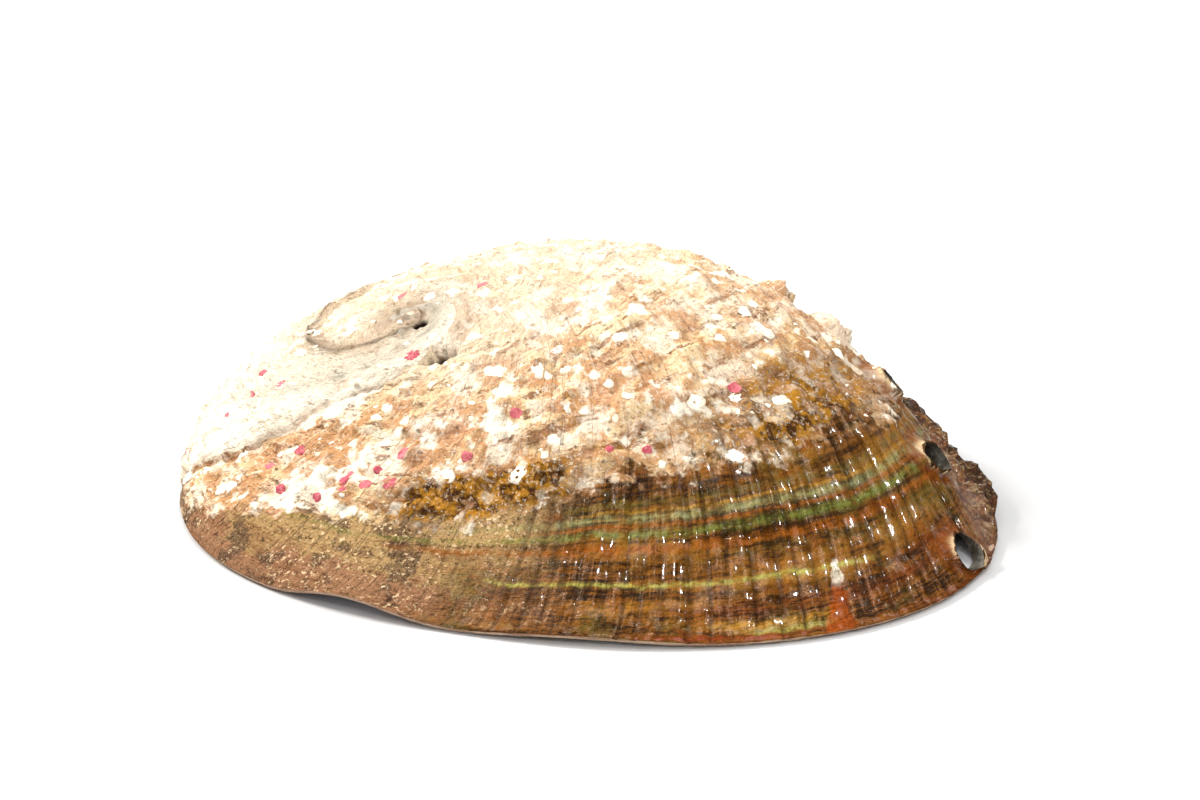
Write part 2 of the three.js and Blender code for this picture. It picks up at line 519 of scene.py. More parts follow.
def growShellTree(outerMaterial, lipMaterial, innerMaterial):
    tree, start, s = startTree("growShell", shellShape)
    g = skinGrid
    rows = g["apexRows"] + g["bodyRows"] + g["lipRows"] + g["innerRows"]
    grid = tree.nodes.new("GeometryNodeMeshGrid")
    grid.inputs["Size X"].default_value = 1
    grid.inputs["Size Y"].default_value = 1
    grid.inputs["Vertices X"].default_value = g["columns"] + 1
    grid.inputs["Vertices Y"].default_value = rows + 1
    u, v = split(Field(tree, grid.outputs["UV Map"]))[:2]
    outer, inner, across, ray, turn, reach = skinPlaces(s, u, v)
    place = mixVectors(tree, across, outer, inner)
    outside = 1.0 - across
    relief = surfaceRelief(s, outer, ray, turn, reach) * outside
    tubes = vectorMath("SCALE", tubeRelief(s, outer), scale=outside)

    skin = Field(tree, grid.outputs["Mesh"])
    skin = keep(skin, "growthPlace", vector(tree, ray, turn, lipRun(turn)), "CORNER", "FLOAT_VECTOR")
    skin = keep(skin, "skinPlace", place, "POINT", "FLOAT_VECTOR")
    skin = keep(skin, "relief", relief, "POINT", "FLOAT")
    skin = keep(skin, "tubePush", tubes, "POINT", "FLOAT_VECTOR")
    crust = crustShare(outer, ray * math.degrees(1), turn) * outside
    skin = keep(skin, "crust", crust, "POINT", "FLOAT")
    isInner = node(tree, "FunctionNodeCompare", {"A": v, "B": (rows - g["innerRows"]) / rows})
    isLip = (node(tree, "FunctionNodeCompare", {"A": v, "B": (g["apexRows"] + g["bodyRows"]) / rows})
             * (1.0 - isInner))
    skin = keep(skin, "lip", isLip, "FACE", "BOOLEAN")
    skin = keep(skin, "inner", isInner, "FACE", "BOOLEAN")
    skin = chain(tree, "GeometryNodeSetPosition", skin, {"Position": place})
    skin = node(tree, "GeometryNodeFlipFaces", {"Mesh": skin})
    skin = chain(tree, "GeometryNodeMergeByDistance", skin, {"Distance": 0.0005})
    normal = node(tree, "GeometryNodeInputNormal")
    push = vectorMath("ADD", vectorMath("SCALE", normal, scale=stored(tree, "relief", "FLOAT")),
                      stored(tree, "tubePush", "FLOAT_VECTOR"))
    skin = chain(tree, "GeometryNodeSetPosition", skin, {"Offset": push})
    spot = node(tree, "GeometryNodeInputPosition")
    skin = chain(tree, "GeometryNodeSetPosition", skin, {"Position": vectorMath("SCALE", spot, scale=mm)})
    endTree(skin, [(outerMaterial, True), (lipMaterial, stored(tree, "lip", "BOOLEAN")),
                   (innerMaterial, stored(tree, "inner", "BOOLEAN"))])
    return tree


def closePoles(mesh):
    # fans over the small openings left at the apex and at the top of the hollow
    work = bmesh.new()
    work.from_mesh(mesh)
    edges = [edge for edge in work.edges if edge.is_boundary]
    while edges:
        ring = [edges.pop()]
        corners = set(ring[0].verts)
        grew = True
        while grew:
            touching = [edge for edge in edges if edge.verts[0] in corners or edge.verts[1] in corners]
            grew = bool(touching)
            for edge in touching:
                edges.remove(edge)
                ring.append(edge)
                corners.update(edge.verts)
        middle = sum((corner.co for corner in corners), Vector()) / len(corners)
        peak = work.verts.new(middle)
        for layer in work.verts.layers.float_vector.values():
            peak[layer] = next(iter(corners))[layer]
        for edge in ring:
            neighbour = edge.link_faces[0]
            loop = next(loop for loop in neighbour.loops if loop.edge == edge)
            face = work.faces.new((loop.link_loop_next.vert, loop.vert, peak))
            face.material_index = neighbour.material_index
            for layer in work.loops.layers.float_vector.values():
                for corner in face.loops:
                    corner[layer] = loop[layer]
    work.to_mesh(mesh)
    work.free()


# Materials.

def tint(red, green, blue):
    # a colour as read from a colour card, 0 to 255, made linear
    def linear(x):
        x = x / 255
        return x / 12.92 if x <= 0.04045 else ((x + 0.055) / 1.055) ** 2.4
    return (linear(red), linear(green), linear(blue), 1.0)


shellColours = {
    "darkBrown": tint(42, 22, 4),
    "warmBrown": tint(134, 82, 24),
    "goldBrown": tint(168, 116, 36),
    "redBrown": tint(120, 56, 8),
    "olive": tint(100, 84, 28),
    "rust": tint(150, 80, 6),
    "deepRust": tint(134, 50, 6),
    "ochre": tint(184, 134, 40),
    "lime": tint(170, 162, 74),
    "green": tint(112, 118, 48),
    "paleGreen": tint(150, 152, 96),
    "flame": tint(162, 70, 2),
    "pinkBrown": tint(150, 108, 76),
    "oliveBeige": tint(168, 136, 88),
    "soot": tint(70, 56, 44),
    "tan": tint(190, 142, 98),
    "pinkTan": tint(206, 158, 126),
    "cream": tint(230, 200, 156),
    "chalk": tint(250, 241, 220),
    "streak": tint(118, 74, 42),
    "pit": tint(44, 30, 18),
    "wallBrown": tint(64, 36, 12),
    "lavender": tint(140, 110, 104),
}

# bands of colour along the growth lines: stage of growth, half width, from and to in degrees,
# colour, strength
growthBands = [
    (0.345, 0.006, 286, 372, "darkBrown", 0.8),
    (0.318, 0.010, 318, 376, "olive", 0.75),
    (0.300, 0.004, 322, 368, "ochre", 0.75),
    (0.286, 0.009, 300, 376, "paleGreen", 0.7),
    (0.270, 0.004, 318, 372, "rust", 0.7),
    (0.252, 0.009, 262, 384, "green", 0.9),
    (0.2375, 0.003, 290, 384, "darkBrown", 0.8),
    (0.223, 0.009, 294, 384, "rust", 0.95),
    (0.203, 0.010, 340, 372, "olive", 0.45),
    (0.150, 0.005, 314, 357, "lime", 0.95),
    (0.128, 0.004, 330, 366, "darkBrown", 0.5),
    (0.095, 0.012, 336, 372, "redBrown", 0.5),
    (0.062, 0.008, 342, 353, "ochre", 0.7),
    (0.040, 0.012, 346, 353, "lime", 0.75),
    (0.020, 0.014, 336, 354, "deepRust", 0.9),
    (0.012, 0.012, 356, 376, "redBrown", 0.7),
]

# where hot orange breaks through near the lip
flameMark = {"middle": 353.0, "lean": 11.0, "tip": 0.165, "tipWidth": 0.32, "spread": 8.0}


def makeMaterial(name):
    made = bpy.data.materials.new(name)
    made.use_nodes = True
    return made, made.node_tree, made.node_tree.nodes["Principled BSDF"]


def attribute(tree, name):
    made = tree.nodes.new("ShaderNodeAttribute")
    made.attribute_name = name
    return Field(tree, made.outputs["Vector"])


def objectPlace(tree):
    # millimetres on the finished piece
    made = tree.nodes.new("ShaderNodeTexCoord")
    return vectorMath("SCALE", Field(tree, made.outputs["Object"]), scale=1000.0)


def mixColours(share, first, second):
    tree = share.tree
    made = tree.nodes.new("ShaderNodeMix")
    made.data_type = "RGBA"
    feed(tree, share, made.inputs["Factor"])
    feed(tree, first, made.inputs[6])
    feed(tree, second, made.inputs[7])
    return Field(tree, made.outputs[2])


def layered(colour, layers):
    # colours laid one over the other, each with the share in which it covers
    for share, name in layers:
        colour = mixColours(share, colour, shellColours[name])
    return colour


def setPlain(surface, values):
    for label, value in values.items():
        surface.inputs[label].default_value = value


def shaderGroup(name, inputs, outputs):
    tree = bpy.data.node_groups.new(name, "ShaderNodeTree")
    for label, kind, value in inputs:
        made = tree.interface.new_socket(label, in_out="INPUT", socket_type=kind)
        if value is not None:
            made.default_value = value
    for label, kind in outputs:
        tree.interface.new_socket(label, in_out="OUTPUT", socket_type=kind)
    given = tree.nodes.new("NodeGroupInput")
    return tree, [Field(tree, given.outputs[label]) for label, kind, value in inputs]


def closeGroup(tree, results):
    out = tree.nodes.new("NodeGroupOutput")
    for label, value in results.items():
        feed(tree, value, out.inputs[label])


def useGroup(tree, group, values):
    made = tree.nodes.new("ShaderNodeGroup")
    made.node_tree = group
    for label, value in values.items():
        feed(tree, value, made.inputs[label])
    return {output.name: Field(tree, output) for output in made.outputs}


def makeGrainGroup():
    # the sandy speckle of worn lime: light and dark grains, tiny pits, and their height
    tree, (place, grainSize) = shaderGroup(
        "limeGrain", [("Place", "NodeSocketVector", None), ("Grain Size", "NodeSocketFloat", 0.6)],
        [(label, "NodeSocketFloat") for label in ("Light", "Dark", "Pits", "Height")])
    scaled = vectorMath("SCALE", place, scale=grainSize ** -1.0)
    rough = noise(scaled, 1.0, 3.0, 0.7)
    other = noise(vectorMath("ADD", scaled, (17.0, 5.0, 9.0)), 0.8, 3.0, 0.7)
    spots = cells(scaled, 0.55)
    pits = 1.0 - ramp(spots + other * 0.5, 0.16, 0.3)
    closeGroup(tree, {"Light": ramp(rough, 0.04, 0.16), "Dark": ramp(other, 0.05, 0.17),
                      "Pits": pits, "Height": rough - pits * 0.35})
    return tree


grainGroup = makeGrainGroup()


def grain(place, grainSize):
    made = useGroup(place.tree, grainGroup, {"Place": place, "Grain Size": grainSize})
    return made["Light"], made["Dark"], made["Pits"], made["Height"]


def bump(tree, height, distance, strength=1.0):
    return node(tree, "ShaderNodeBump", {"Height": height, "Distance": distance, "Strength": strength})


def finishPaint(tree, surface, colour, roughness, height, distance):
    # for the simple finishes: colour, one roughness, and a little relief
    feed(tree, colour, surface.inputs["Base Color"])
    surface.inputs["Roughness"].default_value = roughness
    feed(tree, bump(tree, height, distance), surface.inputs["Normal"])


def within(x, start, end, soft):
    return ramp(x, start - soft, start + soft) * (1.0 - ramp(x, end - soft, end + soft))


def paintWeatheredShell():
    material, tree, surface = makeMaterial("weatheredShell")
    c = shellColours
    ray, turn, run = split(attribute(tree, "growthPlace"))
    place = attribute(tree, "skinPlace")
    degrees = ray * math.degrees(1)
    crusted = crustShare(place, degrees, turn)
    light, dark, tiny, grainHeight = grain(place, 0.75)
    fineLight, fineDark, fineTiny, fineHeight = grain(place, 0.32)
    height, groove = cordPattern(ray, turn)
    lines = noise(vector(tree, run * 2.6, degrees * 0.2, 2.0), 1.0, 4.0, 0.7)
    along = degrees + turn * math.degrees(surfaceMarks["cordTwist"])
    striae = noise(vector(tree, run * 0.2, along * 1.7, 8.0), 1.0, 3.0, 0.65)
    broad = noise(vector(tree, run * 0.25, degrees * 0.04, 5.0), 1.0, 2.0)
    cloud = noise(place, 0.075, 3.0, 0.55)
    otherCloud = noise(vectorMath("ADD", place, (40.0, 10.0, 5.0)), 0.11, 3.0, 0.6)
    mottle = noise(place, 0.4, 3.0, 0.65)

    # the young wall: glossy brown with fine growth lines and bands
    clean = layered(c["darkBrown"], [
        (ramp(lines + broad * 0.5 + striae * 0.6, -0.14, 0.16), "warmBrown"),
        (ramp(broad + otherCloud + mottle * 0.3, 0.0, 0.2) * 0.6, "goldBrown"),
        (ramp(cloud + mottle * 0.5, 0.0, 0.16) * 0.55, "olive"),
        (ramp(otherCloud + lines * 0.4, 0.02, 0.16) * 0.6, "redBrown"),
    ])

    # further back the wall is duller, a speckle of pink brown and olive beige
    gloss = ramp(degrees + cloud * 40.0, 303.0, 324.0) * (1.0 - ramp(degrees + cloud * 60.0, 405.0, 440.0))
    higher = ramp(turn + cloud * 0.35 + mottle * 0.12, 0.07, 0.2)
    dull = layered(c["pinkBrown"], [
        (ramp(higher + mottle * 1.2, 0.2, 0.7), "oliveBeige"),
        (ramp(lines + broad + mottle * 0.5, -0.04, 0.16) * 0.6, "streak"),
        (ramp(otherCloud + mottle * 0.8, 0.02, 0.14) * 0.7, "soot"),
        (larger(dark, fineDark) * 0.8, "darkBrown"),
        (light * ramp(cloud * -1.0 + mottle, -0.12, 0.1), "cream"),
        (fineLight * 0.45, "pinkTan"),
    ])
    young = layered(mixColours(gloss, dull, clean), [
        (fineDark * gloss * 0.4, "darkBrown"),
        # painted shade: the hollows between the cords darkened
        (ramp(height * -1.0 + striae * 2.0, 0.0, 1.1) * gloss * 0.3, "darkBrown"),
        # pale flecks on the glossy wall: partly real pale speckle, partly painted glints on the wet cords
        (fineLight * ramp(striae + mottle, -0.02, 0.2) * gloss * 0.8, "pinkTan"),
        # painted shade: the narrow grooves between the strongest cords darkened
        (groove * (0.1 + gloss * 0.32) * ramp(mottle + lines, -0.2, 0.1), "darkBrown"),
    ])
    wave = (noise(vector(tree, degrees * 0.10, turn * 4.0, 0.0), 1.0, 2.0)
            + noise(vector(tree, degrees * 0.5, turn * 4.0, 3.0), 1.0, 1.0) * 0.25) * 0.03
    patchy = ramp(mottle + striae * 0.8 + lines * 0.5, -0.14, 0.12)
    for stage, width, start, end, colour, strength in growthBands:
        share = hump(turn + wave, stage, width) * within(degrees, start, end, 3.0)
        young = mixColours(share * (patchy * 0.75 + 0.25) * (gloss * 0.4 + 0.6) * strength, young, c[colour])
    flame = flameMark
    younger = flame["tip"] - turn
    aside = absolute(degrees + mottle * 1.6 - younger * flame["lean"] - flame["middle"])
    aside = aside / (larger(younger, 0.0) * flame["spread"] + flame["tipWidth"])
    share = (1.0 - ramp(aside, 0.7, 1.15)) * ramp(younger, 0.0, 0.012)
    hot = mixColours(ramp(younger + mottle * 0.03, 0.035, 0.06), c["chalk"], c["flame"])
    young = mixColours(share * (0.62 + lines * 1.6 + striae), young, hot)

    # the lime crust: cream and tan, whiter and chalkier the older it is and on the old whorl; that whiteness
    # is partly real lime and partly painted highlight
    oldWhorlChalkAndHighlight = ramp(degrees, 430.0, 530.0)
    chalkAndHighlight = ramp(turn + cloud * 1.2 + oldWhorlChalkAndHighlight * 1.2 + ramp(degrees, 318.0, 338.0) * 0.1, 0.65, 1.6)
    patches = ramp(noise(place, 0.15, 4.0, 0.6) + striae * 0.25, -0.02, 0.1)
    streaks = noise(vector(tree, run * 0.55, along * 0.07, 9.0), 1.0, 5.0, 0.72)
    worn = ramp(streaks + mottle * 0.4 + otherCloud * 0.35, 0.01, 0.15)
    rust = ramp(noise(place, 0.2, 3.0, 0.7) + streaks * 0.4, 0.1, 0.2)
    blush = ramp(noise(place, 0.13, 4.0, 0.7) + streaks * 0.4, 0.03, 0.16)
    crust = layered(c["tan"], [
        (ramp(otherCloud + mottle * 0.9, -0.1, 0.14), "cream"),
        (ramp(cloud + mottle * 0.8, 0.0, 0.2) * 0.6, "pinkTan"),
        # chalk white over the older crust and the old whorl: partly real lime, partly painted highlight
        (chalkAndHighlight * (0.4 + oldWhorlChalkAndHighlight * 0.45), "chalk"),
        (patches * (0.62 - ramp(degrees, 318.0, 345.0) * 0.2), "chalk"),
        (worn * (0.9 - chalkAndHighlight * 0.45), "streak"),
        (rust * (0.5 - chalkAndHighlight * 0.3), "goldBrown"),
        (blush * 0.35, "pinkTan"),
    ])
    rotten = hump(degrees + cloud * 30.0, 300.0, 16.0) * hump(turn + mottle * 0.05, 0.4, 0.09)
    front = hump(degrees, 352.0, 18.0) * hump(turn + cloud * 0.3, 0.47, 0.1)
    rotten = larger(rotten * 1.8, front)
    rottenColour = mixColours(ramp(mottle, -0.08, 0.1), c["wallBrown"], c["goldBrown"])
    rottenShare = smaller(rotten * (ramp(mottle + otherCloud, -0.2, 0.04) + 0.3), 1.0)
    crust = mixColours(rottenShare, crust, rottenColour)
    blotch = cells(vectorMath("ADD", place, noise(place, 0.6, 2.0) * 1.6), 0.3, "CHEBYCHEV")
    clumps = ramp(noise(place, 0.2, 3.0) - blotch * 0.6 + noise(place, 0.06, 1.0) * 0.7 + 0.2, 0.05, 0.2)
    sound = 1.0 - smaller(rotten, 1.0) * 0.75
    crust = layered(crust, [
        (dark * (0.5 - chalkAndHighlight * 0.3), "streak"),
        (light * 0.4, "chalk"),
        (tiny * ramp(mottle + cloud, -0.04, 0.16) * (0.6 - chalkAndHighlight * 0.25), "pit"),
        (clumps * (1.0 - dark * 0.15 - tiny * 0.1) * sound, "chalk"),
    ])

    # the steep side under the hole row: dark, with a lavender channel near the lip
    wall = within(degrees, 374.5, 420.0, 3.0)
    wallColour = layered(c["wallBrown"], [
        (ramp(mottle + cloud + lines * 0.5, -0.06, 0.12), "warmBrown"),
        (ramp(otherCloud + mottle, 0.02, 0.2) * 0.5, "redBrown"),
        (ramp(streaks + mottle, 0.04, 0.16) * 0.8, "oliveBeige"),
        (light * 0.8, "cream"),
        (larger(dark, ramp(mottle * -1.0, 0.02, 0.12)) * 0.75, "pit"),
        (hump(degrees, 377.5, 4.0) * (1.0 - ramp(turn, 0.2, 0.34)) * 0.45, "lavender"),
    ])
    young = mixColours(wall * 0.85, young, wallColour)
    crust = mixColours(wall * (0.75 - chalkAndHighlight * 0.4), crust, wallColour)

    colour = mixColours(crusted, young, crust)
    # painted shade: the crease along the suture darkened with the streak colour, less so towards the apex
    past, before = sutureDistance(ray, turn, (turn * -shellShape["Growth Rate"]).calc("EXPONENT") * 40.0)
    sutureShade = hump(smaller(past, before) + mottle * 2.0, 0.0, 0.9) * (0.55 - ramp(turn, 1.0, 2.0) * 0.4)
    colour = layered(colour, [(sutureShade, "streak"), (ramp(pitShare(place), 0.5, 1.3), "pit")])
    for middle, facing, share in holePlaces()[:growthSettings["openHoles"]]:
        away = vectorMath("DISTANCE", place, tuple(middle), output=1) + mottle * 1.2
        colour = layered(colour, [((1.0 - ramp(away, 4.6, 7.5)) * 0.55, "redBrown"),
                                  (hump(away, 3.1, 0.55) * 0.8, "cream")])
    feed(tree, colour, surface.inputs["Base Color"])

    wet = gloss * (1.0 - crusted)
    feed(tree, 0.88 - wet * 0.42 - (1.0 - crusted) * 0.16 + mottle * 0.2, surface.inputs["Roughness"])
    varnish = ramp(mottle + striae + broad * 0.5, 0.0, 0.14) * 0.6 + 0.04
    feed(tree, wet * varnish, surface.inputs["Coat Weight"])
    setPlain(surface, {"Coat Roughness": 0.1, "Specular IOR Level": 0.05})
    beads = noise(vector(tree, run * 1.1, degrees * 1.0, 12.0), 1.0, 1.0) + noise(place, 1.1, 1.0) * 0.6
    relief = (beads * (0.5 + wet * 1.1) + lines * (0.6 - crusted * 0.3) + striae * (0.7 - crusted * 0.4)
              - groove * 0.3 + grainHeight * (0.25 + crusted * 0.45) + fineHeight * 0.35)
    feed(tree, bump(tree, relief, 0.0008), surface.inputs["Normal"])
    return material


def paintLipEdge():
    # the broken edge of the wall: thin layers, pinkish beige
    material, tree, surface = makeMaterial("lipEdge")
    place = attribute(tree, "skinPlace")
    x, y, z = split(place)
    layers = noise(vector(tree, x * 0.15, y * 0.15, z * 3.0), 1.0, 3.0, 0.6)
    light, dark, tiny, height = grain(place, 0.5)
    colour = mixColours(ramp(layers, -0.15, 0.15), tint(150, 108, 84), tint(206, 178, 150))
    colour = mixColours(dark * 0.4, colour, shellColours["wallBrown"])
    colour = mixColours(light * 0.4, colour, shellColours["cream"])
    finishPaint(tree, surface, colour, 0.55, layers + height * 0.4, 0.0004)
    return material


nacreLook = {"bandWidth": 5.5, "swirl": 16.0, "scarPlace": (14.0, 4.0), "scarReach": (15.0, 12.0)}


def paintNacre():
    # mother of pearl: silver with pink, green and blue that drift along the growth lines, and a muscle scar
    material, tree, surface = makeMaterial("nacre")
    place = attribute(tree, "skinPlace")
    x, y, z = split(place)
    swirl = (noise(place, 0.035, 3.0, 0.5) * 2.0 + noise(place, 0.12, 2.0) * 0.5) * nacreLook["swirl"]
    ripple = noise(place, 0.5, 2.0, 0.6) * 0.8
    depth = root(x * x + y * y * 1.5) / nacreLook["bandWidth"]
    phase = depth + swirl * 0.3 + ripple
    red = 0.68 + cosine(phase) * 0.15
    green = 0.70 + cosine(phase - 2.2) * 0.12
    blue = 0.70 + cosine(phase - 4.1) * 0.14
    pearl = node(tree, "ShaderNodeCombineColor", {"Red": red, "Green": green, "Blue": blue})
    scarX, scarY = nacreLook["scarPlace"]
    reachX, reachY = nacreLook["scarReach"]
    acrossX, acrossY = (x - scarX) / reachX, (y - scarY) / reachY
    away = root(acrossX * acrossX + acrossY * acrossY) + noise(place, 0.15, 3.0) * 0.5
    scar = 1.0 - ramp(away, 0.85, 1.02)
    scarCloud = ramp(noise(place, 0.3, 3.0, 0.6), -0.12, 0.12)
    pearl = mixColours(scar * 0.6, pearl, mixColours(scarCloud, tint(150, 176, 150), tint(214, 176, 186)))
    light, dark, tiny, height = grain(place, 1.4)
    pearl = mixColours(tiny * 0.25, pearl, tint(150, 120, 90))
    pearl = mixColours(ramp(z * -1.0, -3.2, -0.6) * 0.55, pearl, tint(150, 104, 80))
    feed(tree, pearl, surface.inputs["Base Color"])
    feed(tree, scar * 0.2 + 0.22 + dark * 0.06, surface.inputs["Roughness"])
    setPlain(surface, {"Metallic": 0.35, "Coat Weight": 0.5, "Coat Roughness": 0.12})
    ridges = noise(place, 0.25, 3.0, 0.55) + scar * noise(place, 0.5, 3.0, 0.6) * 1.5
    feed(tree, bump(tree, ridges + height * 0.15, 0.0008, 0.7), surface.inputs["Normal"])
    return material


# the plain finishes: grain size, size and spread of the clouding, its two colours, what lies over them,
# roughness, depth of the relief
plainFinishes = {
    # the inside of the breathing holes: worn nacre gone grey, dirt in the grain
    "boreWall": (0.6, 0.3, (-0.1, 0.12), tint(64, 54, 40), tint(104, 100, 88),
                 [("dark", 0.7, shellColours["pit"]), ("light", 0.3, tint(190, 180, 160))], 0.6, 0.0004),
    # small squarish scabs of white lime
    "limeFlake": (0.5, 0.25, (-0.05, 0.15), tint(248, 240, 222), tint(236, 220, 190),
                  [("dark", 0.35, tint(214, 186, 146))], 0.85, 0.0003),
    # thin round scabs of crimson weed
    "pinkSpot": (0.45, 0.35, (-0.12, 0.12), tint(170, 58, 76), tint(204, 104, 110),
                 [("light", 0.45, tint(232, 178, 168)), ("dark", 0.35, tint(120, 40, 50))], 0.75, 0.0003),
}


def paintPlain(name):
    grainSize, cloudSize, spread, first, second, layers, roughness, depth = plainFinishes[name]
    material, tree, surface = makeMaterial(name)
    place = objectPlace(tree)
    light, dark, tiny, height = grain(place, grainSize)
    colour = mixColours(ramp(noise(place, cloudSize, 2.0), *spread), first, second)
    for kind, share, over in layers:
        colour = mixColours((light if kind == "light" else dark) * share, colour, over)
    finishPaint(tree, surface, colour, roughness, height, depth)
    return material


outerMaterial = paintWeatheredShell()
lipMaterial = paintLipEdge()
innerMaterial = paintNacre()
boreMaterial = paintPlain("boreWall")
print("materials painted")


# The shell itself: grown, closed, moved to its place, bored.

boreShape = {"sides": 40, "above": 7.0, "below": 13.0, "taper": 0.12, "raggedness": 0.09}


def keepInside(mesh):
    # nothing passes the outer box
    margin = 0.02 * mm
    for vertex in mesh.vertices:
        for axis in range(3):
            vertex.co[axis] = min(max(vertex.co[axis], cadLow[axis] + margin), cadHigh[axis] - margin)


def centreShell(mesh):
    low = Vector([min(vertex.co[axis] for vertex in mesh.vertices) for axis in range(3)])
    high = Vector([max(vertex.co[axis] for vertex in mesh.vertices) for axis in range(3)])
    shift = Vector((-(low.x + high.x) / 2, -(low.y + high.y) / 2, 0))
    mesh.transform(Matrix.Translation(shift))
    keepInside(mesh)
    return shift


def makeBore(middle, facing, share, shift, index):
    # a slightly ragged, tapered plug that cuts one breathing hole
    shape = boreShape
    radius = growthSettings["boreRadius"] * share * mm
    side = facing.cross(Vector((0, 0, 1))).normalized()
    across = facing.cross(side)
    centre = middle * mm + shift
    work = bmesh.new()
    rings = []
    for level in range(6):
        part = level / 5
        along = (-shape["below"] + (shape["below"] + shape["above"]) * part) * mm
        ring = []
        for step in range(shape["sides"]):
            angle = 2 * math.pi * step / shape["sides"]
            ragged = (math.sin(angle * 2 + index * 2.1) * 0.6
                      + math.sin(angle * 5 + index * 1.3 + part * 3) * 0.4)
            reach = radius * (1 + shape["taper"] * (part - 0.6)) * (1 + shape["raggedness"] * ragged)
            ring.append(work.verts.new(centre + facing * along
                                       + (side * math.cos(angle) + across * math.sin(angle)) * reach))
        rings.append(ring)
    for low, high in zip(rings, rings[1:]):
        for step in range(shape["sides"]):
            onward = (step + 1) % shape["sides"]
            work.faces.new((low[step], low[onward], high[onward], high[step]))
    work.faces.new(rings[0][::-1])
    work.faces.new(rings[-1])
    bmesh.ops.recalc_face_normals(work, faces=work.faces)
    mesh = bpy.data.meshes.new("bore")
    work.to_mesh(mesh)
    work.free()
    mesh.materials.append(boreMaterial)
    return addObject("bore", mesh)


def volumeOf(mesh):
    work = bmesh.new()
    work.from_mesh(mesh)
    volume = work.calc_volume()
    work.free()
    return volume


def cutBores(shell, shift):
    # a cut counts only if it took a little of the wall away
    for index, (middle, facing, share) in enumerate(holePlaces()[:growthSettings["openHoles"]]):
        plug = makeBore(middle, facing, share, shift, index)
        whole = volumeOf(shell.data)
        for solver in ("EXACT", "MANIFOLD", "FAST"):
            modifier = shell.modifiers.new("bore", "BOOLEAN")
            modifier.object = plug
            modifier.operation = "DIFFERENCE"
            modifier.solver = solver
            modifier.material_mode = "TRANSFER"
            evaluated = shell.evaluated_get(bpy.context.evaluated_depsgraph_get())
            mesh = bpy.data.meshes.new_from_object(evaluated)
            shell.modifiers.clear()
            left = volumeOf(mesh) / whole
            print("hole", index + 1, solver, "leaves", round(left, 5))
            if 0.98 < left < 0.99999:
                shell.data = mesh
                break
        bpy.data.objects.remove(plug)


def smoothShade(mesh, keepAngle):
    # smooth faces, with an edge kept crisp where the surface turns sharply between two finishes
    work = bmesh.new()
    work.from_mesh(mesh)
    for face in work.faces:
        face.smooth = True
    for edge in work.edges:
        if len(edge.link_faces) == 2 and edge.calc_face_angle() > keepAngle:
            edge.smooth = edge.link_faces[0].material_index == edge.link_faces[1].material_index
    work.to_mesh(mesh)
    work.free()


def finish(piece):
    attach(piece, "root")


def buildShell():
    tree = growShellTree(outerMaterial, lipMaterial, innerMaterial)
    mesh = growMesh(tree, shellShape, bpy.data.meshes.new("shellGrown"))
    closePoles(mesh)
    shift = centreShell(mesh)
    shell = addObject("abaloneShell", mesh)
    cutBores(shell, shift)
    smoothShade(shell.data, math.radians(50))
    finish(shell)
    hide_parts("shell")
    return shell, shift


shell, shellShift = buildShell()
print("shell grown,", sum(len(polygon.vertices) - 2 for polygon in shell.data.polygons), "triangles, apex at",
      [round(x * 1000, 2) for x in shellShift])


# Scabs on the crust: squarish lime flakes strewn by a seeded node tree, and crimson spots where they grew.

flakeShape = {
    "Flake Size": 1.45,
    "Flake Thickness": 0.09,
    "Flakes Per Area": 0.06,
    "Smallest Gap": 1.1,
    "Seed": 7,
}

# crimson spots: the direction and stage of growth of the wall they sit on, and their width in mm
spotPlaces = [
    (268.5, 0.45, 2.2), (274.5, 0.445, 2.2), (280, 0.458, 2.4), (271, 0.405, 1.7), (268, 0.35, 1.8),
    (274, 0.61, 2.2), (292, 0.565, 1.9), (219, 1.66, 3.0), (162.5, 1.31, 2.4), (206, 0.388, 2.0),
    (298, 0.71, 2.2), (341, 0.56, 2.3), (328, 0.45, 1.7), (268, 0.478, 1.6), (273, 0.52, 1.6),
    (258, 0.32, 1.8), (247, 0.375, 1.9), (246.5, 0.515, 1.9), (313.5, 3.17, 2.0), (283, 2.3, 2.2),
    (141, 1.27, 1.8), (176, 0.9, 1.7), (322, 0.47, 1.4), (120, 0.9, 2.0), (96, 1.1, 1.8), (60, 1.3, 2.0),
]
spotShape = {"Spot Lift": 0.08}


def scabBlock(tree, sides, bulge):
    # a thin cushion, its top lifted in the middle, with its height over the shell stored for later
    made = node(tree, "GeometryNodeMeshCube",
                {"Size": (1.0, 1.0, 0.2), "Vertices X": sides, "Vertices Y": sides, "Vertices Z": 2})
    x, y, z = split(node(tree, "GeometryNodeInputPosition"))
    away = (absolute(x * 2.0) ** bulge + absolute(y * 2.0) ** bulge) ** (1.0 / bulge)
    square = larger(absolute(x), absolute(y)) * 2.0
    pull = square / larger(away, 0.001)
    isTop = ramp(z, -0.01, 0.01)
    rise = (1.0 - square ** 4.0 * 0.9) * isTop - (1.0 - isTop) * 1.2
    made = keep(made, "rise", rise, "POINT", "FLOAT")
    return chain(tree, "GeometryNodeSetPosition", made, {"Position": vector(tree, x * pull, y * pull, z)})


